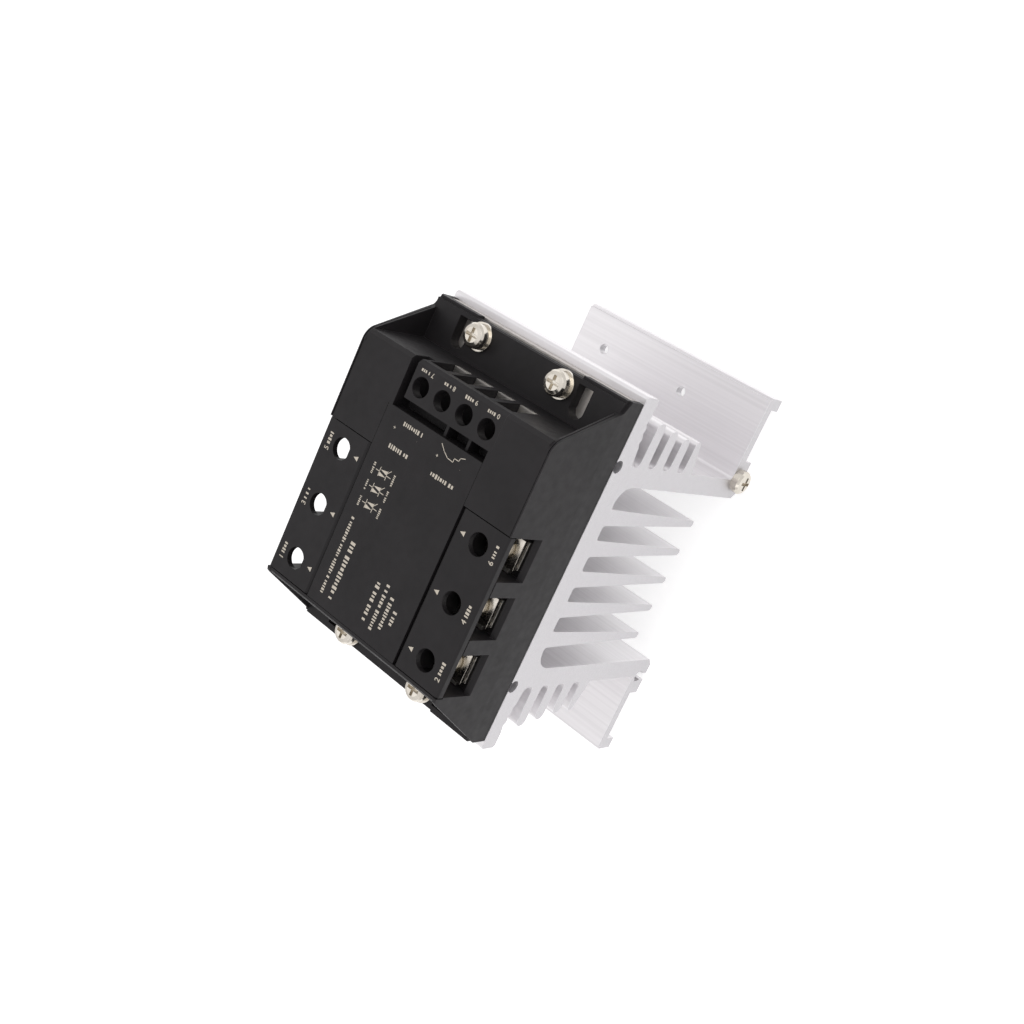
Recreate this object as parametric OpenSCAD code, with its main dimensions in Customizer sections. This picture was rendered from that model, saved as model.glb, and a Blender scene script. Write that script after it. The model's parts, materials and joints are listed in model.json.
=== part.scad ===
// Three-phase solid state relay: a plastic relay module screwed to an extruded aluminium heat sink.
// The object lies on its back: the rear mounting plane is z = 0 and +Z leaves the front face.
// +X runs towards the control terminals, +Y towards the line terminals, -Y towards the load terminals.
// Lengths are millimetres.

/* [Heat sink] */
// Length of the extrusion, along Y
sink_length = 80; // [66:1:120]
// Height from the rear mounting plane to the face that carries the module
sink_h = 81; // [67:1:110]
// Thickness of the carrying plate between the legs
sink_plate_t = 8.8; // [7.2:0.2:11]
// Clear distance between the two legs
leg_gap = 63.4; // [60:0.2:68]
// Thickness of each leg
leg_t = 6.6; // [5.4:0.2:8]
// Number of cooling fins between the legs
fin_count = 5; // [3:2:5]
// Distance from fin to fin
fin_pitch = 10.6; // [9:0.2:11]
// Thickness of a fin at its root
fin_root_t = 5.6; // [4.6:0.2:6.8]
// Thickness of a fin at its tip
fin_tip_t = 2.4; // [1.6:0.2:3.2]
// Free height left between the fin tips and the mounting plane
fin_tip_z = 18.9; // [12:0.1:26]
// Distance from side fin to side fin, outside the legs
side_fin_pitch = 8.9; // [7.4:0.1:9.6]
// Width of the slots between the side fins
side_slot_w = 4; // [3.2:0.1:4.6]
// How far each mounting flange reaches past the carrying plate
flange_over = 8.3; // [5:0.1:14]
// Thickness of the mounting flanges
flange_t = 3.5; // [2.8:0.1:5]
// Height of the feet under the flanges
foot_h = 4.2; // [3.4:0.1:5.4]
// Radius of the fixing holes in the flanges
fix_r = 1.7; // [1.4:0.05:2.3]
// Distance between the two fixing holes of one flange
fix_dy = 35.5; // [30:0.5:45]
// How far the middle of the fixing holes sits from the middle of the heat sink, along Y
fix_off = 9.7; // [0:0.1:12]
// Distance of the fixing holes from the outer edge of the flange
fix_in = 12.5; // [9:0.1:14]
// Radius of the screw ports that run the length of the extrusion
port_r = 2.1; // [1.9:0.05:2.4]

/* [Relay module] */
// Width of the module, along Y
relay_w = 79.6; // [76:0.2:96]
// Height of the module's front face above the heat sink
relay_h = 33.2; // [31:0.2:44]
// Length of each mounting end of the module, along X
end_l = 15.3; // [14:0.1:19]
// Thickness of the metal base plate of the module
plate_t = 4.2; // [3.4:0.1:5.2]
// Thickness of the plastic floor over the base plate
floor_t = 4; // [3:0.1:5]
// General wall thickness of the plastic parts
wall = 2; // [1.6:0.1:2.4]
// Distance of the module screws from the middle, along Y
screw_y = 17; // [14:0.5:19]
// Radius of the module screws
screw_r = 2; // [1.7:0.05:2.4]

/* [Power terminals] */
// Distance from phase to phase
power_pitch = 19; // [17:0.1:24]
// Width of a terminal bay
bay_w = 14; // [12.6:0.1:15.5]
// Depth of the terminal sill below the front face
sill_d = 13.9; // [13:0.1:16]
// Radius of the power terminal screws
power_r = 2; // [1.6:0.05:2.5]
// Radius of the screwdriver holes in the covers
access_r = 3.5; // [2.8:0.1:4.2]
// How far a power clamp rises when its screw is undone
power_lift = 4.1; // [3.6:0.1:4.8]
// Largest opening angle of the terminal covers
cover_open = 90; // [60:5:90]

/* [Control terminals] */
// Distance from terminal to terminal
input_pitch = 9.15; // [8.6:0.05:9.4]
// Radius of the control terminal screws
input_r = 1.5; // [1.2:0.05:1.7]
// Radius of the screwdriver holes over the control terminals
input_access_r = 3.2; // [2.8:0.1:3.4]
// How far a control clamp rises when its screw is undone
input_lift = 4.1; // [3.4:0.1:4.4]

/* [Fits] */
// Running clearance, radial, of hinge pins and turning screws
run_fit = 0.05; // [0.03:0.01:0.08]
// Clearance around parts that are dropped into a seat
seat_fit = 0.15; // [0.1:0.01:0.25]
// Gap between parts that move past each other
move_gap = 0.3; // [0.25:0.05:0.4]

/* [Hidden] */
$fn = 40;
eps = 0.02;

// heat sink stations
leg_in = leg_gap / 2;
leg_out = leg_in + leg_t;
plate_z = sink_h - sink_plate_t;
edge_z = sink_h - sink_plate_t + 2.1;
slot0_z = plate_z - side_slot_w / 2;
flange_z = foot_h + flange_t;
port_x = leg_out + 0.3;
port_z = 4.3;
front_port_x = leg_out - 0.7;
front_port_z = sink_h - 1.6;

// module stations along X: three bays, then the panel end, a trench and the control block
phase_x = -13.5;
bay_x0 = phase_x - power_pitch - bay_w / 2;
bay_x1 = phase_x + power_pitch + bay_w / 2;
block_x0 = bay_x0 - 2.3;
cover_x0 = bay_x0 - 0.5;
cover_x1 = bay_x1 + 0.1;
panel_x1 = cover_x1 + 13.4;
trench_w = 3.8;
input_x = panel_x1 + 8.85;
block_x1 = panel_x1 + 16.2;
relay_x0 = block_x0 - end_l;
relay_x1 = block_x1 + end_l;
sink_plate_w = relay_x1 - relay_x0 + 5.4;
flange_w = sink_plate_w + 2 * flange_over;
fix_x = flange_w / 2 - fix_in;
screw_x0 = relay_x0 + 5.3;
screw_x1 = relay_x1 - 5.3;

// module stations along Y
half_w = relay_w / 2;
wall_lean = 0.7;
groove_y = half_w - wall_lean - 0.55;
panel_y = half_w - 19.8;
power_y = half_w - 9.8;
slot_y = screw_y + 8;
input_y = -2.6;
input_bay = input_pitch - 2.35;
strip_y0 = input_y + 1.5 * input_pitch + input_bay / 2 + 0.9;
strip_y1 = panel_y - 1.6;

// module stations along Z
pad_t = 0.3;
base_z = sink_h + pad_t;
base_top = base_z + plate_t;
floor_top = base_top + floor_t;
front_z = sink_h + relay_h;
rim_z = front_z + 0.2;
sill_z = front_z - sill_d;
term_t = 2;
cavity_z = sill_z - term_t - 4.3;
lid_t = 2;
lid_z = front_z - lid_t;
input_sill = front_z - 15.1;
input_t = 1.5;
roof_t = 3.5;
hood_x = panel_x1 + trench_w;
hood_y = -panel_y - 1;

// covers
hinge_r = 1.6;
pin_r = 1;
hinge_y = panel_y + move_gap + hinge_r;
hinge_z = front_z - hinge_r;
cover_in = move_gap;

// terminal hardware
clamp_t = 1.2;
clamp_w = 9.6;
clamp_rib = 0.4;
tongue_w = 9.2;
tongue_y = power_y + 6.7;
power_washer_t = 0.9;
power_head_r = 4;
power_head_h = 2.8;
clamp_z = sill_z + clamp_rib + move_gap;
power_head_z = clamp_z + clamp_t + power_washer_t + 0.1;
power_len = power_head_z - (sill_z - term_t) + power_lift + 0.7;
input_clamp_t = 1;
input_washer_t = 0.8;
input_head_r = 2.75;
input_head_h = 2.2;
input_clamp_z = input_sill + move_gap;
input_head_z = input_clamp_z + input_clamp_t + input_washer_t + 0.1;
input_len = input_head_z - (input_sill - input_t) + input_lift + 0.5;

// sealed power section
ceramic_t = 1;
ceramic_w = bay_w + 1.2;
copper_t = 0.3;
chip_t = 0.6;
strap_t = 0.6;
foot_z = base_top + ceramic_t + copper_t;
strap_z = foot_z + chip_t;
gel_z = strap_z + strap_t;
gel_top = cavity_z - 1.7;
chip_y = 13;
bar_t = 1.5;
bar_y = power_y - 6.1;
board_z = lid_z - 8.9;
board_t = 1.6;
board_x0 = bay_x0 + 3;
board_x1 = panel_x1 - 4;

// colours
alu = [0.82, 0.83, 0.85];
black = [0.13, 0.13, 0.14];
steel = [0.78, 0.76, 0.7];
tin = [0.72, 0.72, 0.7];
copper = [0.72, 0.42, 0.25];

// ---- helpers ----

// a block from its low corner to its high corner
module span(a, b) {
  translate(a) cube(b - a);
}

// the same on both sides of the middle plane y = 0
module both_y() {
  children();
  mirror([0, 1, 0]) children();
}

// an outline in X and Z, carried along Y over a width w centred on y = 0
module along_y(w) {
  rotate([90, 0, 0]) linear_extrude(height = w, center = true) children();
}

// a YZ outline extruded from a to b along X
module along_x(a, b) {
  translate([a, 0, 0]) rotate([90, 0, 90]) linear_extrude(height = b - a) children();
}

// fills an inner corner at (x, z) with a round of radius r, towards (dx, dz)
module inner_round(x, z, r, dx, dz) {
  translate([x, z]) difference() {
    translate([dx > 0 ? -eps : -r, dz > 0 ? -eps : -r]) square(r + eps);
    translate([dx * r, dz * r]) circle(r = r);
  }
}

// cross recess, cut downwards from z = 0
module cross(span_w, arm, depth) {
  translate([-span_w / 2, -arm / 2, -depth]) cube([span_w, arm, depth + 1]);
  translate([-arm / 2, -span_w / 2, -depth]) cube([arm, span_w, depth + 1]);
}

// pan head screw: seat of the head at z = 0, head above, shank below
module pan_screw(r, len, head_r, head_h) {
  difference() {
    union() {
      rotate_extrude() polygon([[0, 0], [head_r, 0], [head_r, head_h * 0.6],
        [head_r * 0.86, head_h * 0.87], [head_r * 0.6, head_h], [0, head_h]]);
      translate([0, 0, -len]) cylinder(r = r, h = len + eps);
    }
    translate([0, 0, head_h]) cross(head_r * 1.15, head_r * 0.26, head_h * 0.55);
  }
}

// split spring washer lying on z = 0
module split_washer(r_in, r_out, t) {
  difference() {
    cylinder(r = r_out, h = t);
    translate([0, 0, -1]) cylinder(r = r_in, h = t + 2);
    translate([0, -0.35, -1]) cube([r_out + 1, 0.7, t + 2]);
  }
}

// ---- heat sink ----

// one fin between the legs
module fin_outline(x) {
  translate([x, 0]) {
    polygon([[-fin_root_t / 2, plate_z + 1], [-fin_root_t / 2, plate_z],
      [-fin_tip_t / 2, fin_tip_z + fin_tip_t / 2], [fin_tip_t / 2, fin_tip_z + fin_tip_t / 2],
      [fin_root_t / 2, plate_z], [fin_root_t / 2, plate_z + 1]]);
    translate([0, fin_tip_z + fin_tip_t / 2]) circle(r = fin_tip_t / 2);
  }
}

// one side fin: k counts from the carrying plate
module side_fin_outline(k) {
  fin_t = side_fin_pitch - side_slot_w;
  mid = slot0_z - side_fin_pitch * (k + 0.5);
  tip = sink_plate_w / 2 - 7 - 1.7 * k;
  r = fin_t * 0.44;
  polygon([[leg_out - 1, mid - fin_t / 2], [tip - r, mid - r], [tip - r, mid + r],
    [leg_out - 1, mid + fin_t / 2]]);
  translate([tip - r, mid]) circle(r = r);
}

// the half of the outline at +X
module half_outline() {
  w = sink_plate_w / 2;
  root3 = slot0_z - 3 * side_fin_pitch - side_slot_w / 2;
  tip3 = w - 12.1;
  // wing of the carrying plate
  polygon([[leg_out - 1, plate_z], [leg_out + 9, plate_z + 1.6], [w - 6.4, plate_z + 2.4],
    [w - 5.4, edge_z], [w - 0.8, edge_z], [w, edge_z + 0.8], [w, sink_h - 0.8],
    [w - 0.8, sink_h], [leg_out - 1, sink_h]]);
  for (k = [0 : 2]) side_fin_outline(k);
  polygon([[leg_out - 1, root3 - 6.2], [leg_out + 5, root3 - 4.6], [tip3, root3 - 3.1],
    [tip3, root3 - 0.3], [leg_out - 1, root3]]);
  translate([tip3, root3 - 1.7]) circle(r = 1.4);
  // leg with its foot, and the flange with the foot at its edge
  translate([leg_in, 0]) square([leg_t, plate_z + 1]);
  translate([leg_in, 0]) square([leg_t + 7, flange_z]);
  translate([leg_out - 1, foot_h]) square([flange_w / 2 - leg_out, flange_t]);
  translate([flange_w / 2 - 4, 0]) square([4, flange_z - 1]);
  inner_round(leg_in, plate_z, 6.5, -1, -1);
  inner_round(leg_out, flange_z, 1.2, 1, 1);
  for (k = [0 : 3]) {
    inner_round(leg_out, slot0_z - k * side_fin_pitch + side_slot_w / 2, 1.6, 1, -1);
    inner_round(leg_out, slot0_z - k * side_fin_pitch - side_slot_w / 2, 1.6, 1, 1);
  }
}

// the parts of the +X half that are open: scallops, screw ports, the corner and the foot recess
module half_cuts() {
  for (k = [0 : 2]) translate([leg_out + 7.5 + 3.2 * k, plate_z + 0.55 + 0.45 * k]) circle(r = 1.3);
  translate([front_port_x, front_port_z]) circle(r = port_r);
  translate([front_port_x - 1.3, front_port_z]) square([2.6, 5]);
  translate([port_x, port_z]) circle(r = port_r);
  translate([port_x - 1.3, -1]) square([2.6, port_z + 1]);
  polygon([[leg_in - 1, -1], [leg_in + 2.2, -1], [leg_in + 2.2, 0], [leg_in, 2.2], [leg_in - 1, 2.2]]);
  translate([leg_out + 7, -1]) square([flange_w / 2 - 4 - leg_out - 7, foot_h + 1]);
}

module sink_outline() {
  difference() {
    union() {
      translate([-leg_out, plate_z]) square([2 * leg_out, sink_plate_t]);
      for (i = [0 : fin_count - 1]) {
        x = (i - (fin_count - 1) / 2) * fin_pitch;
        fin_outline(x);
        inner_round(x + fin_root_t / 2, plate_z, 1, 1, -1);
        inner_round(x - fin_root_t / 2, plate_z, 1, -1, -1);
      }
      half_outline();
      mirror([1, 0]) half_outline();
    }
    half_cuts();
    mirror([1, 0]) half_cuts();
  }
}

module heatsink() {
  color(alu) difference() {
    along_y(sink_length) sink_outline();
    for (x = [screw_x0, screw_x1], y = [-screw_y, screw_y])
      translate([x, y, plate_z - 1]) cylinder(r = screw_r + run_fit, h = sink_plate_t + 2);
    for (x = [-fix_x, fix_x], y = [fix_off - fix_dy / 2, fix_off + fix_dy / 2])
      translate([x, y, -1]) cylinder(r = fix_r, h = flange_z + 2);
  }
}

module thermal_pad() {
  color([0.75, 0.76, 0.78]) difference() {
    span([relay_x0 + 1, -half_w + wall + 0.4, sink_h], [relay_x1 - 1, half_w - wall - 0.4, base_z]);
    for (x = [screw_x0, screw_x1], y = [-screw_y, screw_y])
      translate([x, y, sink_h - 1]) cylinder(r = screw_r + 0.4, h = 3);
  }
}

// ---- relay module ----

module base_plate() {
  color([0.66, 0.64, 0.6]) difference() {
    span([relay_x0 + 0.2, -half_w + wall + seat_fit, base_z],
      [relay_x1 - 0.2, half_w - wall - seat_fit, base_top]);
    for (x = [screw_x0, screw_x1], y = [-screw_y, screw_y])
      translate([x, y, base_z - 1]) cylinder(r = screw_r + 0.25, h = plate_t + 2);
  }
}

// outline of a thin side wall in X and Z, drawn d inside its rim
module side_outline(d = 0) {
  lean = 0.48;
  top_z = rim_z - d;
  top_x = block_x1 - 0.7 + d * (lean - sqrt(1 + lean * lean));
  foot_x = top_x + lean * (top_z - floor_top + 0.5);
  r = 5 - d;
  a = 90 - atan(lean);
  t = r * tan(a / 2);
  cx = top_x - t;
  polygon([[relay_x0, sink_h + 0.05], [relay_x1, sink_h + 0.05], [relay_x1, floor_top - 2.6],
    [foot_x, floor_top - 0.5], [top_x + t * sin(atan(lean)), top_z - t * cos(atan(lean))],
    [cx, top_z], [block_x0 + 1.4, top_z], [block_x0 + 0.3, top_z - 0.4], [block_x0 - 0.5, top_z - 1.5],
    [relay_x0 + 1.4, floor_top - 0.5], [relay_x0, floor_top - 2.6]]);
  translate([cx, top_z - r]) circle(r = r);
}

// outline of the block between the side walls
module block_outline() {
  polygon([[block_x0 - 1.6, base_top], [block_x1 + 1.1, base_top], [block_x1, front_z - 1.2],
    [block_x1 - 1.2, front_z], [block_x0 + 0.9, front_z], [block_x0, front_z - 0.9]]);
}

// U-shaped slot in a mounting end, closed towards the end: side is -1 or 1
module end_slot(x_end, y, side) {
  x_in = x_end - side * 9.7;
  x_out = x_end - side * 2.5;
  translate([x_in, y, base_top - 1]) cylinder(r = 2.75, h = floor_t + 2);
  span([min(x_in, x_out), y - 2.75, base_top - 1], [max(x_in, x_out), y + 2.75, floor_top + 1]);
}

// everything cut out of one side (+Y) for its three power terminals and the cover
module power_side_cuts() {
  for (i = [-1 : 1]) {
    x = phase_x + i * power_pitch;
    // seat of the terminal plate, and the way in over the sill
    span([x - bay_w / 2, bar_y - 0.1, sill_z - term_t], [x + bay_w / 2, half_w - wall - 0.2, front_z + 1]);
    span([x - bay_w / 2, power_y, sill_z], [x + bay_w / 2, half_w + 1, front_z + 1]);
    along_x(x - bay_w / 2, x + bay_w / 2) polygon([[half_w - wall - 0.2, sill_z + eps],
      [half_w + 1, sill_z - 1.6], [half_w + 1, sill_z + eps]]);
    // the conductor's slot and the relief under the screw
    span([x - 3.2, bar_y - 0.1, cavity_z - 1], [x + 3.2, bar_y + bar_t + 0.2, sill_z]);
    translate([x, power_y, cavity_z - 1]) cylinder(r = power_r + 0.7, h = 8);
  }
  // seat of the cover and the trough of its hinge
  span([cover_x0, panel_y, lid_z - move_gap], [cover_x1, half_w + 1, front_z + 1]);
  span([cover_x0, half_w - wall - 0.4, lid_z - 0.4 - move_gap], [cover_x1, half_w + 1, front_z + 1]);
  span([cover_x0, panel_y, hinge_z - hinge_r - move_gap], [cover_x1, bar_y, front_z + 1]);
  // sockets of the hinge pins
  translate([cover_x0 - 1.2, hinge_y, hinge_z]) rotate([0, 90, 0])
    cylinder(r = pin_r + run_fit, h = cover_x1 - cover_x0 + 2.4);
}

module housing() {
  color(black) difference() {
    union() {
      intersection() {
        along_y(relay_w) side_outline();
        both_y() along_x(relay_x0, relay_x1) polygon([[half_w - wall, sink_h], [half_w, sink_h],
          [half_w, floor_top], [half_w - wall_lean, rim_z], [half_w - wall, rim_z]]);
      }
      along_y(relay_w - 2 * wall + eps) block_outline();
      span([relay_x0, -half_w + wall / 2, base_top], [relay_x1, half_w - wall / 2, floor_top - 1]);
      span([relay_x0 + 1, -half_w + wall / 2, base_top], [relay_x1 - 1, half_w - wall / 2, floor_top]);
    }
    both_y() power_side_cuts();
    // hollow over the sealed power section, and the hollow of the control board
    span([block_x0 + 1.6, -half_w + wall + 0.2, base_top - 1],
      [block_x1 - 1.6, half_w - wall - 0.2, cavity_z]);
    span([bay_x0 + 2.4, -panel_y + 4.2, cavity_z - 1], [panel_x1 - 2, panel_y - 4.2, front_z + 1]);
    span([bay_x0 + 2.4, -panel_y + 2.7, board_z], [panel_x1 - 2, panel_y - 2.7, front_z + 1]);
    // ledge of the label panel
    span([cover_x0, -panel_y, lid_z], [panel_x1, panel_y, front_z + 1]);
    // hollows beside the control block
    span([cover_x1 + 2.2, panel_y + 2, cavity_z - 1], [block_x1 - 2, half_w - wall - 0.2, lid_z]);
    span([cover_x1 + 2.2, -half_w + wall + 0.2, cavity_z - 1], [block_x1 - 2, -panel_y - 2, lid_z]);
    // trench between panel and control block, and its branch that leaves at the end
    difference() {
      span([panel_x1 - eps, -panel_y, front_z - 7], [panel_x1 + trench_w, strip_y1, front_z + 1]);
      for (i = [-1 : 0])
        span([panel_x1 - 1, input_y + i * input_pitch - 0.5, front_z - 8],
          [panel_x1 + trench_w + 1, input_y + i * input_pitch + 0.5, front_z - 1.6]);
    }
    span([panel_x1 + 1, strip_y0, front_z - 7], [block_x1 + 2, strip_y1, front_z + 1]);
    // seat of the hood, and what holds the control terminals
    span([hood_x, hood_y, input_sill], [relay_x1, strip_y0 + eps, front_z + 1]);
    for (i = [0 : 3]) translate([0, input_y + (1.5 - i) * input_pitch, 0]) {
      span([panel_x1 + 1.4, -input_bay / 2, input_sill - input_t],
        [block_x1 + 3, input_bay / 2, input_sill + eps]);
      span([board_x1 - seat_fit, -1.3, input_sill - input_t], [panel_x1 + 2, 1.3, input_sill]);
      span([board_x1 - seat_fit, -1.3, input_sill - input_t],
        [board_x1 + 1 + seat_fit, 1.3, board_z + board_t + seat_fit]);
      translate([input_x, 0, cavity_z - 1]) cylinder(r = input_r + 0.5, h = input_sill - cavity_z + 1);
    }
    // the side walls carry a fine groove that follows their rim
    span([cover_x1, -groove_y, front_z], [block_x1 - 4, groove_y, rim_z + 1]);
    intersection() {
      difference() {
        along_y(2 * groove_y + 0.3) side_outline(-0.3);
        along_y(2 * groove_y - 0.3) side_outline(-0.6);
        along_y(2 * half_w) side_outline(0.5);
      }
      span([cover_x1 + 0.1, -half_w, floor_top + 1.5], [relay_x1, half_w, rim_z + 1]);
    }
    // mounting ends
    for (y = [-screw_y, screw_y]) {
      translate([screw_x0, y, base_top - 1]) cylinder(r = screw_r + 0.3, h = floor_t + 2);
      translate([screw_x1, y, base_top - 1]) cylinder(r = screw_r + 0.3, h = floor_t + 2);
    }
    for (y = [-slot_y, slot_y]) {
      end_slot(relay_x0, y, -1);
      end_slot(relay_x1, y, 1);
    }
    // the floor between the slots leaves the edge of the base plate bare
    for (x = [relay_x0, relay_x1])
      span([x - 0.8, 3 - slot_y, base_top - 1], [x + 0.8, slot_y - 3, floor_top + 1]);
  }
}

// roof and partitions over the four control terminals
module control_hood() {
  color(black) difference() {
    intersection() {
      along_y(2 * half_w) block_outline();
      span([hood_x, hood_y, input_sill], [relay_x1, strip_y0, front_z]);
    }
    for (i = [0 : 3]) translate([0, input_y + (1.5 - i) * input_pitch, 0]) {
      span([hood_x + 0.8, -input_bay / 2, input_sill - 1], [relay_x1, input_bay / 2, front_z - roof_t]);
      translate([input_x, 0, front_z - roof_t - 1]) cylinder(r = input_access_r, h = roof_t + 2);
    }
  }
}

module label_panel() {
  color(black) {
    span([cover_x0 + seat_fit, -panel_y + seat_fit, lid_z], [panel_x1, panel_y - seat_fit, front_z]);
    // rim that drops into the hollow, in two strips
    both_y() span([board_x0 + 6, panel_y - 4.4, lid_z - 2.4], [board_x1 - 6, panel_y - 3, lid_z + eps]);
  }
}

// terminal cover of the +Y side, closed
module terminal_cover() {
  difference() {
    union() {
      intersection() {
        along_y(2 * half_w) translate([cover_x0 + cover_in, 0])
          square([cover_x1 - cover_x0 - 2 * cover_in, front_z]);
        along_x(cover_x0, cover_x1) polygon([[hinge_y, lid_z], [half_w - wall - 0.1, lid_z],
          [half_w - wall - 0.1, lid_z - 0.4], [half_w - wall_lean, lid_z - 0.4],
          [half_w - wall_lean - 0.1, front_z - 0.6], [half_w - wall_lean - 0.7, front_z],
          [hinge_y - 0.7, front_z], [hinge_y - 1.45, hinge_z + 0.95], [hinge_y - 1.45, hinge_z]]);
      }
      translate([cover_x0 + cover_in, hinge_y, hinge_z]) rotate([0, 90, 0])
        cylinder(r = hinge_r, h = cover_x1 - cover_x0 - 2 * cover_in);
      translate([cover_x0 - 0.9, hinge_y, hinge_z]) rotate([0, 90, 0])
        cylinder(r = pin_r, h = cover_x1 - cover_x0 + 1.8);
    }
    for (i = [-1 : 1]) translate([phase_x + i * power_pitch, power_y, lid_z - 1])
      cylinder(r = access_r, h = lid_t + 2);
  }
}

module cover_line() {
  color(black) terminal_cover();
}

module cover_load() {
  color(black) mirror([0, 1, 0]) terminal_cover();
}

// ---- fasteners ----

module at_module_screws(z) {
  for (x = [screw_x0, screw_x1], y = [-screw_y, screw_y]) translate([x, y, z]) children();
}

module module_flat_washers() {
  color(steel) at_module_screws(floor_top) difference() {
    cylinder(r = 4.6, h = 1);
    translate([0, 0, -1]) cylinder(r = screw_r + 0.15, h = 3);
  }
}

module module_spring_washers() {
  color(steel) at_module_screws(floor_top + 1) split_washer(screw_r + 0.1, 4, 1.2);
}

module module_screws() {
  color(steel) at_module_screws(floor_top + 2.2)
    pan_screw(screw_r, floor_top + 2.2 - sink_h + 5.2, 4, 2.9);
}

module earth_washer() {
  color(steel) translate([port_x, -sink_length / 2, port_z]) rotate([90, 0, 0]) difference() {
    cylinder(r = 3.8, h = 0.8);
    translate([0, 0, -1]) cylinder(r = 2.1, h = 3);
  }
}

module earth_screw() {
  color(steel) translate([port_x, -sink_length / 2 - 0.8, port_z]) rotate([90, 0, 0])
    pan_screw(port_r - 0.1, 9, 4.1, 2.8);
}

// ---- power terminals ----

// the three terminal plates of the +Y side, each with its conductor down to the power section
module terminal_bars() {
  for (i = [-1 : 1]) translate([phase_x + i * power_pitch, 0, 0]) difference() {
    union() {
      span([-bay_w / 2 + seat_fit, bar_y, sill_z - term_t], [bay_w / 2 - seat_fit, power_y + 4, sill_z]);
      span([-tongue_w / 2, power_y, sill_z - term_t], [tongue_w / 2, tongue_y, sill_z]);
      span([-3, bar_y, foot_z], [3, bar_y + bar_t, sill_z - eps]);
      span([-3, bar_y - 5.4, foot_z], [3, bar_y + bar_t, foot_z + 1.2]);
    }
    translate([0, power_y, sill_z - term_t - 1]) cylinder(r = power_r + run_fit, h = term_t + 2);
  }
}

module line_terminals() {
  color(tin) terminal_bars();
}

module load_terminals() {
  color(tin) mirror([0, 1, 0]) terminal_bars();
}

// clamp number n: 0 to 2 on the line side, 3 to 5 on the load side
module power_clamp(n) {
  side = n < 3 ? 1 : -1;
  x = phase_x + ((n % 3) - 1) * power_pitch;
  y0 = side > 0 ? -5.4 : -6.4;
  color(steel) translate([x, side * power_y, clamp_z]) difference() {
    union() {
      translate([-clamp_w / 2, y0, 0]) cube([clamp_w, 11.8, clamp_t]);
      for (s = [-1, 1]) translate([s * 3.3 - 0.5, y0, -clamp_rib]) cube([1, 11.8, clamp_rib + 0.1]);
    }
    translate([0, 0, -1]) cylinder(r = power_r + 0.25, h = clamp_t + 2);
  }
}

module power_screw(n) {
  side = n < 3 ? 1 : -1;
  x = phase_x + ((n % 3) - 1) * power_pitch;
  color(steel) {
    translate([x, side * power_y, power_head_z])
      pan_screw(power_r, power_len, power_head_r, power_head_h);
    translate([x, side * power_y, clamp_z + clamp_t + 0.05])
      split_washer(power_r + 0.1, 3.6, power_washer_t);
  }
}

module power_clamp_1() {
  power_clamp(0);
}

module power_clamp_2() {
  power_clamp(1);
}

module power_clamp_3() {
  power_clamp(2);
}

module power_clamp_4() {
  power_clamp(3);
}

module power_clamp_5() {
  power_clamp(4);
}

module power_clamp_6() {
  power_clamp(5);
}

module power_screw_1() {
  power_screw(0);
}

module power_screw_2() {
  power_screw(1);
}

module power_screw_3() {
  power_screw(2);
}

module power_screw_4() {
  power_screw(3);
}

module power_screw_5() {
  power_screw(4);
}

module power_screw_6() {
  power_screw(5);
}

// ---- control terminals ----

module input_terminals() {
  color(tin) for (i = [0 : 3]) translate([0, input_y + (1.5 - i) * input_pitch, 0]) difference() {
    union() {
      span([panel_x1 + 1.6, -input_bay / 2 + 0.1, input_sill - input_t],
        [block_x1 + 0.4, input_bay / 2 - 0.1, input_sill]);
      span([board_x1, -1.15, input_sill - input_t], [panel_x1 + 2, 1.15, input_sill]);
      span([board_x1, -1.15, input_sill - input_t], [board_x1 + 1, 1.15, board_z + board_t]);
    }
    translate([input_x, 0, input_sill - input_t - 1]) cylinder(r = input_r + run_fit, h = input_t + 2);
  }
}

module input_clamp(n) {
  color(steel) translate([input_x, input_y + (1.5 - n) * input_pitch, input_clamp_z]) difference() {
    translate([-3.3, -3.1, 0]) cube([6.6, 6.2, input_clamp_t]);
    translate([0, 0, -1]) cylinder(r = input_r + 0.25, h = input_clamp_t + 2);
  }
}

module input_screw(n) {
  color(steel) translate([input_x, input_y + (1.5 - n) * input_pitch, 0]) {
    translate([0, 0, input_head_z]) pan_screw(input_r, input_len, input_head_r, input_head_h);
    translate([0, 0, input_clamp_z + input_clamp_t + 0.05])
      split_washer(input_r + 0.1, 2.6, input_washer_t);
  }
}

module input_clamp_1() {
  input_clamp(0);
}

module input_clamp_2() {
  input_clamp(1);
}

module input_clamp_3() {
  input_clamp(2);
}

module input_clamp_4() {
  input_clamp(3);
}

module input_screw_1() {
  input_screw(0);
}

module input_screw_2() {
  input_screw(1);
}

module input_screw_3() {
  input_screw(2);
}

module input_screw_4() {
  input_screw(3);
}

// ---- sealed power section and control board ----

module at_phases() {
  for (i = [-1 : 1]) translate([phase_x + i * power_pitch, 0, 0]) children();
}

module ceramic_substrates() {
  color([0.93, 0.92, 0.88]) at_phases()
    span([-ceramic_w / 2, -bar_y - 2, base_top], [ceramic_w / 2, bar_y + 2, base_top + ceramic_t]);
}

module copper_pads() {
  color(copper) at_phases() both_y()
    span([-7, chip_y - 4.5, base_top + ceramic_t], [7, bar_y + 1, foot_z]);
}

module thyristor_chips() {
  color([0.3, 0.32, 0.36]) at_phases() both_y()
    span([-3.6, chip_y - 3.6, foot_z], [3.6, chip_y + 3.6, strap_z]);
}

module bridge_straps() {
  color(copper) at_phases() span([-2, -chip_y - 2.6, strap_z], [2, chip_y + 2.6, gel_z]);
}

module gate_pins() {
  color([0.8, 0.66, 0.36]) at_phases() both_y() translate([2.9, chip_y - 1, strap_z])
    cylinder(r = 0.45, h = board_z - strap_z, $fn = 20);
}

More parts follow.
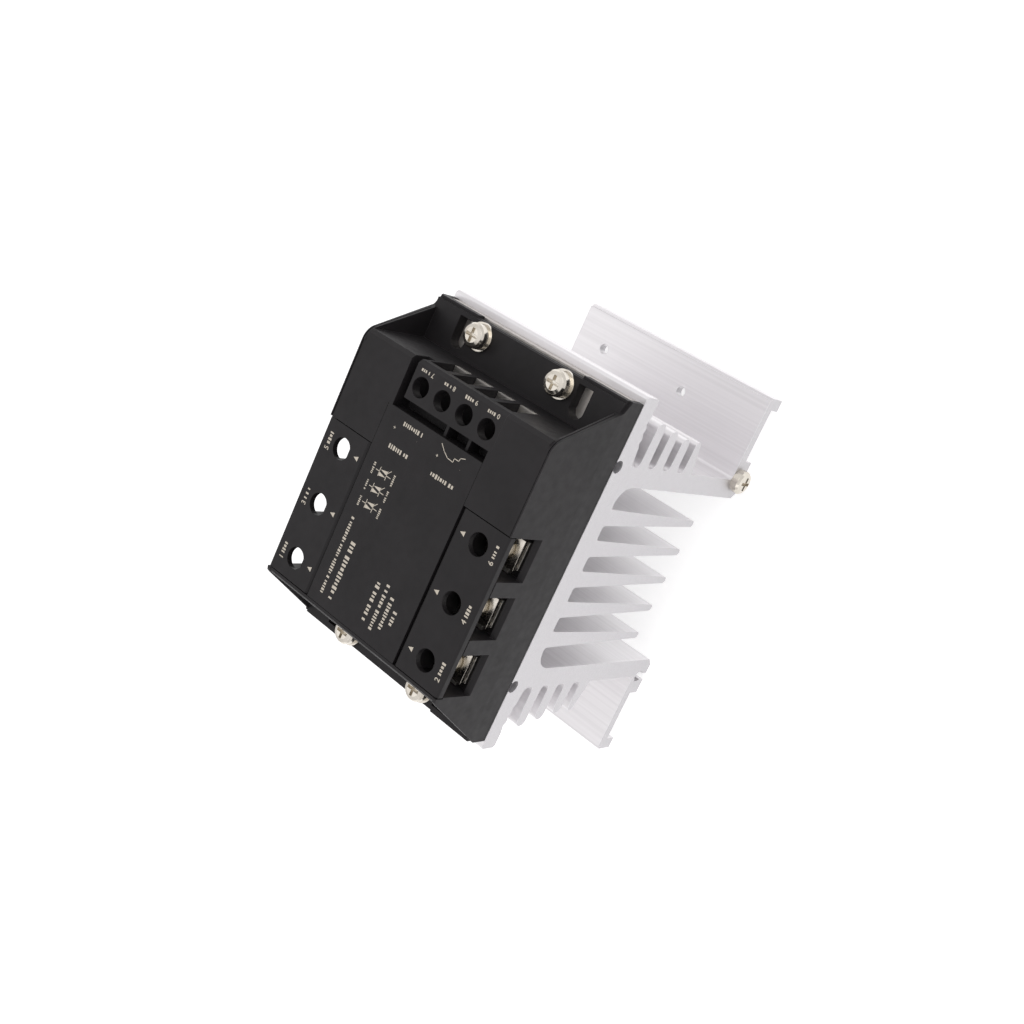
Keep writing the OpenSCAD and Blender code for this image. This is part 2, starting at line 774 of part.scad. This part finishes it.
module potting() {
  color([0.62, 0.6, 0.55, 0.8]) difference() {
    span([block_x0 + 1.8, -half_w + wall + 0.4, gel_z], [block_x1 - 1.8, half_w - wall - 0.4, gel_top]);
    at_phases() both_y() {
      span([-3.1, bar_y - 5.5, gel_z - 1], [3.1, bar_y + bar_t + 0.1, foot_z + 1.3]);
      span([-3.1, bar_y - 0.1, gel_z - 1], [3.1, bar_y + bar_t + 0.1, gel_top + 1]);
      translate([2.9, chip_y - 1, gel_z - 1]) cylinder(r = 0.5, h = gel_top - gel_z + 2, $fn = 20);
    }
  }
}

module control_board() {
  color([0.12, 0.34, 0.2])
    span([board_x0, -panel_y + 2.9, board_z], [board_x1, panel_y - 2.9, board_z + board_t]);
}

module optocouplers() {
  color([0.1, 0.1, 0.11]) at_phases()
    span([-3.5, 2, board_z + board_t], [3.5, 10.5, board_z + board_t + 3.4]);
}

module snubber_capacitors() {
  color([0.16, 0.27, 0.5]) at_phases()
    span([-3.9, -11.5, board_z + board_t], [3.9, -4.5, board_z + board_t + 5.4]);
}

heatsink();
thermal_pad();
base_plate();
housing();
control_hood();
label_panel();
cover_line();
cover_load();
module_screws();
module_spring_washers();
module_flat_washers();
earth_screw();
earth_washer();
line_terminals();
load_terminals();
input_terminals();
ceramic_substrates();
copper_pads();
thyristor_chips();
bridge_straps();
gate_pins();
potting();
control_board();
optocouplers();
snubber_capacitors();
power_clamp_1();
power_clamp_2();
power_clamp_3();
power_clamp_4();
power_clamp_5();
power_clamp_6();
power_screw_1();
power_screw_2();
power_screw_3();
power_screw_4();
power_screw_5();
power_screw_6();
input_clamp_1();
input_clamp_2();
input_clamp_3();
input_clamp_4();
input_screw_1();
input_screw_2();
input_screw_3();
input_screw_4();
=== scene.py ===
import json
import math
import random

import bmesh
import bpy
from mathutils import Matrix, Vector


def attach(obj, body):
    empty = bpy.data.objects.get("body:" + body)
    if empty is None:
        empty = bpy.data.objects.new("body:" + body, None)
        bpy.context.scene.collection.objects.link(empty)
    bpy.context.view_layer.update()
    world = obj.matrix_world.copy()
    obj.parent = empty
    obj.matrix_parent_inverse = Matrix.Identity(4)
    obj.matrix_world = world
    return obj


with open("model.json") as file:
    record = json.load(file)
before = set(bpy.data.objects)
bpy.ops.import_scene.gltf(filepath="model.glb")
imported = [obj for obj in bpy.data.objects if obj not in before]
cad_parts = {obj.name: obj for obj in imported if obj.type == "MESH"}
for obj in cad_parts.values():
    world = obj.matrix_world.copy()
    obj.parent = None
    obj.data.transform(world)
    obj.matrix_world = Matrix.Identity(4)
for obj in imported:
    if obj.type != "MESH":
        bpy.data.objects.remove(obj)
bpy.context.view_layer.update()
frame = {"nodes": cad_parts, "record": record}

MM = 0.001

# ------------------------------------------------------------------ nodes of a material


class Nodes:
    """Builds the node tree of one material; its coordinates are in millimetres of the CAD frame."""

    def __init__(self, name):
        self.mat = bpy.data.materials.new(name)
        self.mat.use_nodes = True
        self.tree = self.mat.node_tree
        self.tree.nodes.clear()
        self.out = self.add("ShaderNodeOutputMaterial")
        self.bsdf = self.add("ShaderNodeBsdfPrincipled")
        self.link(self.bsdf.outputs[0], self.out.inputs[0])
        self.coord = self.add("ShaderNodeTexCoord")
        scale = self.add("ShaderNodeVectorMath", operation="SCALE")
        scale.inputs["Scale"].default_value = 1000.0
        self.link(self.coord.outputs["Object"], scale.inputs[0])
        self.mm = scale.outputs[0]

    def add(self, kind, **props):
        node = self.tree.nodes.new(kind)
        for key, value in props.items():
            setattr(node, key, value)
        return node

    def link(self, a, b):
        self.tree.links.new(a, b)

    def set(self, socket, value):
        if hasattr(value, "is_output"):
            self.link(value, socket)
        else:
            socket.default_value = value

    def stretched(self, scale):
        node = self.add("ShaderNodeVectorMath", operation="MULTIPLY")
        self.link(self.mm, node.inputs[0])
        node.inputs[1].default_value = scale
        return node.outputs[0]

    def noise(self, scale, detail=2.0, rough=0.5, vector=None, distortion=0.0):
        node = self.add("ShaderNodeTexNoise")
        self.link(vector or self.mm, node.inputs["Vector"])
        node.inputs["Scale"].default_value = scale
        node.inputs["Detail"].default_value = detail
        node.inputs["Roughness"].default_value = rough
        node.inputs["Distortion"].default_value = distortion
        return node.outputs["Fac"]

    def cells(self, scale, vector=None, feature="F1"):
        node = self.add("ShaderNodeTexVoronoi", feature=feature)
        self.link(vector or self.mm, node.inputs["Vector"])
        node.inputs["Scale"].default_value = scale
        return node.outputs["Distance"]

    def remap(self, value, a, b, c, d, clamp=True):
        node = self.add("ShaderNodeMapRange", clamp=clamp)
        self.link(value, node.inputs[0])
        for i, v in enumerate((a, b, c, d)):
            node.inputs[i + 1].default_value = v
        return node.outputs[0]

    def math(self, operation, a, b=0.0, clamp=False):
        node = self.add("ShaderNodeMath", operation=operation, use_clamp=clamp)
        self.set(node.inputs[0], a)
        self.set(node.inputs[1], b)
        return node.outputs[0]

    def mix(self, factor, a, b):
        node = self.add("ShaderNodeMix", data_type="RGBA")
        self.set(node.inputs[0], factor)
        for socket, value in ((node.inputs[6], a), (node.inputs[7], b)):
            if isinstance(value, tuple):
                value = (*value[:3], 1.0)
            self.set(socket, value)
        return node.outputs[2]

    def rounded(self, radius_mm):
        node = self.add("ShaderNodeBevel", samples=6)
        node.inputs["Radius"].default_value = radius_mm * MM
        return node.outputs[0]

    def edges(self, radius_mm, gain=3.0):
        """1 on sharp edges, 0 on flats."""
        geometry = self.add("ShaderNodeNewGeometry")
        dot = self.add("ShaderNodeVectorMath", operation="DOT_PRODUCT")
        self.link(self.rounded(radius_mm), dot.inputs[0])
        self.link(geometry.outputs["Normal"], dot.inputs[1])
        return self.math("MULTIPLY", self.math("SUBTRACT", 1.0, dot.outputs["Value"]), gain, clamp=True)

    def bump(self, height, distance_mm, strength=1.0, normal=None):
        node = self.add("ShaderNodeBump")
        node.inputs["Strength"].default_value = strength
        node.inputs["Distance"].default_value = distance_mm * MM
        self.link(height, node.inputs["Height"])
        if normal is not None:
            self.link(normal, node.inputs["Normal"])
        return node.outputs[0]

    def finish(self, color, rough, metallic=0.0, normal=None, **constants):
        if isinstance(color, tuple):
            color = (*color[:3], 1.0)
        self.set(self.bsdf.inputs["Base Color"], color)
        self.set(self.bsdf.inputs["Roughness"], rough)
        self.bsdf.inputs["Metallic"].default_value = metallic
        if normal is not None:
            self.link(normal, self.bsdf.inputs["Normal"])
        for key, value in constants.items():
            self.bsdf.inputs[key.replace("_", " ")].default_value = value
        return self.mat


def moulded_plastic(name, dark, light, grain_mm=0.22):
    n = Nodes(name)
    cloud = n.remap(n.noise(0.07, 3.0), 0.35, 0.65, 0.0, 1.0)
    grain = n.noise(1.0 / grain_mm, 2.0, 0.6)
    specks = n.remap(n.cells(1.4), 0.0, 0.045, 1.0, 0.0)
    lone = n.remap(n.noise(0.9, 1.0), 0.66, 0.74, 0.0, 1.0)
    dust = n.math("MULTIPLY", specks, lone)
    base = n.mix(cloud, dark, light)
    base = n.mix(n.remap(grain, 0.3, 0.7, 0.0, 0.25), base, tuple(1.5 * c for c in light))
    worn = n.math("MULTIPLY", n.edges(0.3), n.remap(n.noise(0.6, 2.0), 0.35, 0.65, 0.25, 0.8))
    base = n.mix(worn, base, tuple(2.6 * c for c in light))
    base = n.mix(n.math("MULTIPLY", dust, 0.5), base, (0.16, 0.15, 0.15))
    rough = n.math("ADD", n.remap(n.noise(0.35, 3.0), 0.3, 0.7, 0.4, 0.52), n.math("MULTIPLY", grain, 0.06))
    normal = n.bump(grain, 0.02, 0.55, n.rounded(0.22))
    return n.finish(base, rough, normal=normal, Specular_IOR_Level=0.24)


def extruded_aluminium(name):
    n = Nodes(name)
    lines = n.noise(1.0, 4.0, 0.62, n.stretched((7.0, 0.012, 7.0)))
    broad = n.noise(1.0, 2.0, 0.5, n.stretched((0.9, 0.006, 0.9)))
    saw = n.noise(1.0, 3.0, 0.6, n.stretched((0.25, 1.0, 9.0)), 0.6)
    grit = n.noise(9.0, 2.0, 0.7)
    separate = n.add("ShaderNodeSeparateXYZ")
    n.link(n.coord.outputs["Normal"], separate.inputs[0])
    end = n.remap(n.math("ABSOLUTE", separate.outputs["Y"]), 0.8, 0.95, 0.0, 1.0)
    height = n.math("ADD", n.math("MULTIPLY", lines, n.math("SUBTRACT", 1.0, end)),
                    n.math("MULTIPLY", n.math("ADD", saw, n.math("MULTIPLY", grit, 0.5)), end))
    base = n.mix(n.remap(broad, 0.35, 0.65, 0.0, 1.0), (0.8, 0.785, 0.8), (0.86, 0.845, 0.86))
    base = n.mix(n.remap(lines, 0.58, 0.8, 0.0, 0.3), base, (0.77, 0.755, 0.765))
    base = n.mix(n.math("MULTIPLY", end, n.remap(grit, 0.3, 0.7, 0.4, 1.0)), base, (0.5, 0.49, 0.505))
    base = n.mix(n.math("MULTIPLY", n.edges(0.35), 0.4), base, (0.86, 0.86, 0.87))
    rough = n.math("ADD", n.remap(lines, 0.3, 0.7, 0.36, 0.46), n.math("MULTIPLY", end, 0.08))
    normal = n.bump(height, 0.012, 0.5, n.rounded(0.25))
    return n.finish(base, rough, metallic=0.92, normal=normal)


def plated_steel(name, tint, tarnish, rough_low=0.1, rough_high=0.2):
    n = Nodes(name)
    patches = n.noise(0.3, 3.0, 0.5)
    fine = n.noise(12.0, 3.0, 0.6)
    nicks = n.remap(n.cells(2.6), 0.0, 0.12, 1.0, 0.0)
    base = n.mix(n.remap(patches, 0.4, 0.68, 0.0, 0.5), tint, tarnish)
    base = n.mix(n.math("MULTIPLY", nicks, 0.2), base, tuple(0.6 * c for c in tarnish))
    rough = n.math("ADD", n.remap(patches, 0.3, 0.7, rough_low, rough_high), n.math("MULTIPLY", fine, 0.08))
    height = n.math("ADD", n.math("MULTIPLY", fine, 0.2), n.math("MULTIPLY", nicks, -0.5))
    normal = n.bump(height, 0.008, 0.25, n.rounded(0.15))
    return n.finish(base, rough, metallic=1.0, normal=normal)


def cast_surface(name, tint, shade, rough=0.5, metallic=0.0, grain=3.0, depth_mm=0.015, **constants):
    """Ceramic, gel, board, bare copper and the like: mottled colour, fine grain, soft edges."""
    n = Nodes(name)
    blotch = n.noise(0.5, 3.0, 0.55)
    fine = n.noise(grain, 3.0, 0.6)
    base = n.mix(n.remap(blotch, 0.35, 0.65, 0.0, 1.0), tint, shade)
    base = n.mix(n.remap(fine, 0.5, 0.8, 0.0, 0.3), base, tuple(0.7 * c for c in shade))
    roughness = n.remap(fine, 0.3, 0.7, rough - 0.07, rough + 0.07)
    normal = n.bump(fine, depth_mm, 0.5, n.rounded(0.1))
    return n.finish(base, roughness, metallic=metallic, normal=normal, **constants)


def print_ink(name):
    n = Nodes(name)
    wear = n.noise(6.0, 3.0, 0.7)
    base = n.mix(n.remap(wear, 0.4, 0.75, 0.0, 0.6), (0.56, 0.51, 0.43), (0.36, 0.33, 0.28))
    normal = n.bump(wear, 0.01, 0.4)
    return n.finish(base, n.remap(wear, 0.3, 0.7, 0.5, 0.65), normal=normal, Specular_IOR_Level=0.3)


MATERIALS = {
    "anodised_aluminium": extruded_aluminium("anodised_aluminium"),
    "thermal_pad": cast_surface("thermal_pad", (0.52, 0.53, 0.56), (0.44, 0.45, 0.48), 0.75),
    "base_metal": cast_surface("base_metal", (0.62, 0.59, 0.56), (0.52, 0.49, 0.46), 0.38, 0.9, 5.0),
    "black_plastic": moulded_plastic("black_plastic", (0.0095, 0.0086, 0.0093), (0.0132, 0.0118, 0.0128)),
    "plated_steel": plated_steel("plated_steel", (0.72, 0.68, 0.61), (0.58, 0.53, 0.45)),
    "tinned_copper": plated_steel("tinned_copper", (0.72, 0.70, 0.66), (0.60, 0.56, 0.50), 0.26, 0.42),
    "ceramic": cast_surface("ceramic", (0.84, 0.83, 0.79), (0.76, 0.75, 0.71), 0.4),
    "copper": cast_surface("copper", (0.72, 0.37, 0.22), (0.55, 0.27, 0.15), 0.35, 1.0, 5.0),
    "silicon": cast_surface("silicon", (0.13, 0.14, 0.17), (0.09, 0.10, 0.12), 0.22, 0.6),
    "pin_brass": cast_surface("pin_brass", (0.75, 0.58, 0.28), (0.58, 0.43, 0.20), 0.32, 1.0, 5.0),
    "silicone": cast_surface("silicone", (0.42, 0.40, 0.35), (0.34, 0.32, 0.28), 0.3),
    "circuit_board": cast_surface("circuit_board", (0.03, 0.15, 0.07), (0.02, 0.10, 0.05), 0.35, 0.0, 1.6),
    "chip_package": cast_surface("chip_package", (0.02, 0.02, 0.021), (0.028, 0.028, 0.03), 0.6),
    "capacitor_case": cast_surface("capacitor_case", (0.05, 0.11, 0.30), (0.04, 0.08, 0.22), 0.35),
}
INK = print_ink("print_ink")

for part in frame["record"]["subparts"]:
    node = frame["nodes"][part["node"]]
    material = MATERIALS[part["material_slot"]]
    for k in range(max(1, len(node.material_slots))):
        if node.material_slots:
            node.material_slots[k].material = material
        else:
            node.data.materials.append(material)

# ------------------------------------------------------------------ prints on the front

PRINT_Z = 114.2  # the front face
PRINT_LOW = 0.004  # the ink starts this far off the face
PRINT_T = 0.03  # and ends here
CAP_SHARE = 0.73  # height of a digit over the size of its font
LINE_W = 0.22  # drawn lines of the symbols
THIN_W = 0.2


def flat_mesh(name, shapes):
    """Closed thin plates from lists of outline points in millimetres."""
    bm = bmesh.new()
    for outline in shapes:
        low = [bm.verts.new((x * MM, y * MM, (PRINT_Z + PRINT_LOW) * MM)) for x, y in outline]
        high = [bm.verts.new((x * MM, y * MM, (PRINT_Z + PRINT_T) * MM)) for x, y in outline]
        bm.faces.new(low[::-1])
        bm.faces.new(high)
        for k in range(len(outline)):
            j = (k + 1) % len(outline)
            bm.faces.new((low[k], low[j], high[j], high[k]))
    bmesh.ops.recalc_face_normals(bm, faces=bm.faces)
    mesh = bpy.data.meshes.new(name)
    bm.to_mesh(mesh)
    bm.free()
    return mesh


def put(name, mesh, body):
    obj = bpy.data.objects.new(name, mesh)
    bpy.context.scene.collection.objects.link(obj)
    mesh.materials.clear()
    mesh.materials.append(INK)
    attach(obj, body)


def lettering(name, text, x, y, height, turn=0.0, body="relay"):
    """Digits and signs, centred on (x, y) in millimetres, with digits of that height."""
    curve = bpy.data.curves.new(name, "FONT")
    curve.body = text
    curve.size = height * MM / CAP_SHARE
    curve.extrude = (PRINT_T - PRINT_LOW) / 2 * MM
    curve.resolution_u = 3
    curve.space_character = 1.08
    curve.offset = 0.00001 * height
    temp = bpy.data.objects.new(name + "_curve", curve)
    bpy.context.scene.collection.objects.link(temp)
    bpy.context.view_layer.update()
    mesh = bpy.data.meshes.new_from_object(temp.evaluated_get(bpy.context.evaluated_depsgraph_get()))
    bpy.data.objects.remove(temp)
    xs = [v.co.x for v in mesh.vertices]
    ys = [v.co.y for v in mesh.vertices]
    cx, cy = (min(xs) + max(xs)) / 2, (min(ys) + max(ys)) / 2
    place = (Matrix.Translation((x * MM, y * MM, (PRINT_Z + (PRINT_T + PRINT_LOW) / 2) * MM))
             @ Matrix.Rotation(math.radians(turn), 4, "Z")
             @ Matrix.Translation((-cx, -cy, 0)))
    mesh.transform(place)
    mesh.name = name
    put(name, mesh, body)


def stroke(points, width):
    """Outlines of a drawn line of that width."""
    shapes = []
    for (x0, y0), (x1, y1) in zip(points, points[1:]):
        length = math.hypot(x1 - x0, y1 - y0)
        nx, ny = (y0 - y1) / length * width / 2, (x1 - x0) / length * width / 2
        ex, ey = (x1 - x0) / length * width * 0.3, (y1 - y0) / length * width * 0.3
        shapes.append([(x0 - ex - nx, y0 - ey - ny), (x1 + ex - nx, y1 + ey - ny),
                       (x1 + ex + nx, y1 + ey + ny), (x0 - ex + nx, y0 - ey + ny)])
    return shapes


def greeked(name, x, y, width, height, turn=0.0, body="relay", seed=1):
    """A line of small plain blocks, centred on (x, y), as a stand-in for words."""
    rng = random.Random(seed)
    shapes, at = [], -width / 2
    while at < width / 2 - 0.3 * height:
        w = min(rng.choice((0.26, 0.34, 0.42)) * height, width / 2 - at)
        h = rng.choice((0.3, 0.36, 0.42)) * height
        shapes.append([(at, -h), (at + w, -h), (at + w, h), (at, h)])
        at += w + (0.6 if rng.random() < 0.16 else 0.24) * height
    c, n = math.cos(math.radians(turn)), math.sin(math.radians(turn))
    moved = [[(x + c * u - n * v, y + n * u + c * v) for u, v in shape] for shape in shapes]
    put(name, flat_mesh(name, moved), body)


PHASE_X = (-32.5, -13.5, 5.5)  # the power terminals of the three phases
LINE_Y, LOAD_Y = 35.7, -36.4  # rows of marks next to the covers' edges
for k, x in enumerate(PHASE_X):
    lettering(f"mark_line_{k + 1}", str(2 * k + 1), x - 2.4, LINE_Y, 1.9, body="cover_line")
    greeked(f"mark_line_word_{k + 1}", x + 1.2, LINE_Y, 4.4, 1.7, body="cover_line", seed=k + 3)
    lettering(f"mark_load_{k + 1}", str(2 * k + 2), x - 2.4, LOAD_Y, 1.9, body="cover_load")
    greeked(f"mark_load_word_{k + 1}", x + 1.3, LOAD_Y, 4.4, 1.7, body="cover_load", seed=k + 13)
    for side, body, y in ((1, "cover_line", 23.3), (-1, "cover_load", -23.5)):
        arrow = [(x - 0.6, y - 0.9), (x + 1.0, y - 0.9), (x + 0.2, y + 0.9)]
        put(f"mark_arrow_{body}_{k + 1}", flat_mesh(f"arrow_{body}_{k + 1}", [arrow]), body)

greeked("words_kind", -22.8, 15.2, 26.5, 1.6, seed=21)
greeked("words_title", -25.5, 11.2, 21.0, 2.3, seed=22)
greeked("words_output", -27.8, -3.6, 13.8, 2.1, seed=23)
greeked("words_output_2", -28.0, -7.2, 15.6, 1.8, seed=24)
greeked("words_output_3", -28.2, -10.4, 11.2, 1.8, seed=25)
greeked("words_output_4", -28.3, -13.4, 5.0, 1.8, seed=26)
greeked("words_input", 15.0, 9.8, 8.8, 1.7, turn=90, seed=27)
greeked("words_input_2", 23.0, 7.6, 8.2, 1.6, turn=90, seed=28)
greeked("words_alarm", 15.0, -9.3, 9.6, 1.7, turn=90, seed=29)
for k, (mark, y) in enumerate((("+", 14.2), ("-", 4.5), ("+", -4.3), ("-", -13.8))):
    lettering(f"mark_sign_{k + 1}", mark, 20.5, y, 1.3 if mark == "+" else 0.35, turn=90)
for k, y in enumerate((11.0, 1.9, -7.4, -16.2)):
    lettering(f"mark_control_{k + 1}", "7890"[k], 39.8, y - 2.3, 1.5, turn=90)
    greeked(f"mark_control_word_{k + 1}", 39.8, y + 0.9, 3.8, 1.4, turn=90, seed=k + 31)

symbols = []
for k, x in enumerate((-4.2, 1.2, 6.6)):
    symbols += stroke([(x, 14.4), (x, 12.9)], LINE_W) + stroke([(x, 9.8), (x, 8.0)], LINE_W)
    symbols += stroke([(x - 1.4, 12.9), (x + 1.4, 12.9)], LINE_W)
    symbols += stroke([(x - 1.4, 9.8), (x + 1.4, 9.8)], LINE_W)
    symbols.append([(x - 1.3, 12.7), (x - 0.7, 9.95), (x - 0.1, 12.7)])
    symbols.append([(x + 0.1, 9.95), (x + 1.3, 9.95), (x + 0.7, 12.7)])
    symbols += stroke([(x + 0.8, 9.7), (x + 2.0, 8.6)], THIN_W)
    greeked(f"words_in_{k + 1}", x - 0.1, 15.6, 3.6, 1.0, seed=k + 41)
    greeked(f"words_out_{k + 1}", x - 0.1, 6.8, 3.6, 1.0, seed=k + 51)
symbols += stroke([(24.4, -4.2), (22.8, -6.0), (21.6, -8.0), (21.4, -10.4)], LINE_W)
symbols += stroke([(21.4, -10.4), (22.6, -10.4), (22.6, -12.2)], LINE_W)
symbols += stroke([(22.6, -12.2), (23.6, -12.4), (24.2, -14.0)], LINE_W)
put("mark_symbols", flat_mesh("mark_symbols", symbols), "relay")

# ------------------------------------------------------------------ floor, light, camera


def floor():
    mesh = bpy.data.meshes.new("floor")
    half = 4.0
    low = -0.0004
    corners = [(-half, -half, low), (half, -half, low), (half, half, low), (-half, half, low)]
    mesh.from_pydata(corners, [], [(0, 1, 2, 3)])
    obj = bpy.data.objects.new("floor", mesh)
    bpy.context.scene.collection.objects.link(obj)
    n = Nodes("pale_floor")
    tone = n.noise(0.004, 2.0)
    base = n.mix(tone, (0.6, 0.6, 0.6), (0.62, 0.62, 0.62))
    mesh.materials.append(n.finish(base, 0.8, Specular_IOR_Level=0.1))
    n.bsdf.inputs["Emission Color"].default_value = (1, 1, 1, 1)
    n.bsdf.inputs["Emission Strength"].default_value = 0.6


def softbox(name, place, aim, size, watts):
    light = bpy.data.lights.new(name, "AREA")
    light.shape = "RECTANGLE"
    light.size, light.size_y = size
    light.energy = watts
    obj = bpy.data.objects.new(name, light)
    bpy.context.scene.collection.objects.link(obj)
    obj.location = place
    obj.rotation_euler = (Vector(aim) - Vector(place)).to_track_quat("-Z", "Y").to_euler()


floor()
softbox("key", (0.75, -0.45, 1.3), (0, 0, 0.06), (0.9, 0.9), 3.2)
softbox("fill", (-0.9, -0.8, 0.8), (0, 0, 0.06), (0.9, 0.7), 1.2)
softbox("back", (-0.25, 1.0, 1.1), (0, 0, 0.08), (1.2, 0.7), 0.7)

world = bpy.data.worlds.new("studio")
bpy.context.scene.world = world
world.use_nodes = True
sky = world.node_tree
where = sky.nodes.new("ShaderNodeTexCoord")
axes = sky.nodes.new("ShaderNodeSeparateXYZ")
ramp = sky.nodes.new("ShaderNodeMapRange")
for k, value in enumerate((-0.1, 0.9, 0.76, 0.93)):
    ramp.inputs[k + 1].default_value = value
sky.links.new(where.outputs["Generated"], axes.inputs[0])
sky.links.new(axes.outputs["Z"], ramp.inputs[0])
sky.links.new(ramp.outputs[0], sky.nodes["Background"].inputs[1])
sky.nodes["Background"].inputs[0].default_value = (1.0, 0.985, 0.99, 1.0)

view = bpy.context.scene.view_settings
view.view_transform = "Standard"
view.look = "None"
view.exposure = 0.0
view.gamma = 1.0

camera = bpy.data.cameras.new("camera")
camera.sensor_width = 36.0
camera.lens = 48.95  # from the focal length of the camera fit, 1392.3 pixels of 1024
camera.clip_start, camera.clip_end = 0.02, 20.0
cam = bpy.data.objects.new("camera", camera)
bpy.context.scene.collection.objects.link(cam)
right = Vector((0.40461371, -0.70377315, -0.58394444))
down = Vector((-0.88066829, -0.47191594, -0.04145719))
ahead = Vector((-0.24639624, 0.5310355, -0.81073435))
turn = Matrix((right, -down, -ahead)).transposed()
cam.matrix_world = Matrix.Translation((0.113444, -0.239428, 0.425139)) @ turn.to_4x4()
bpy.context.scene.camera = cam
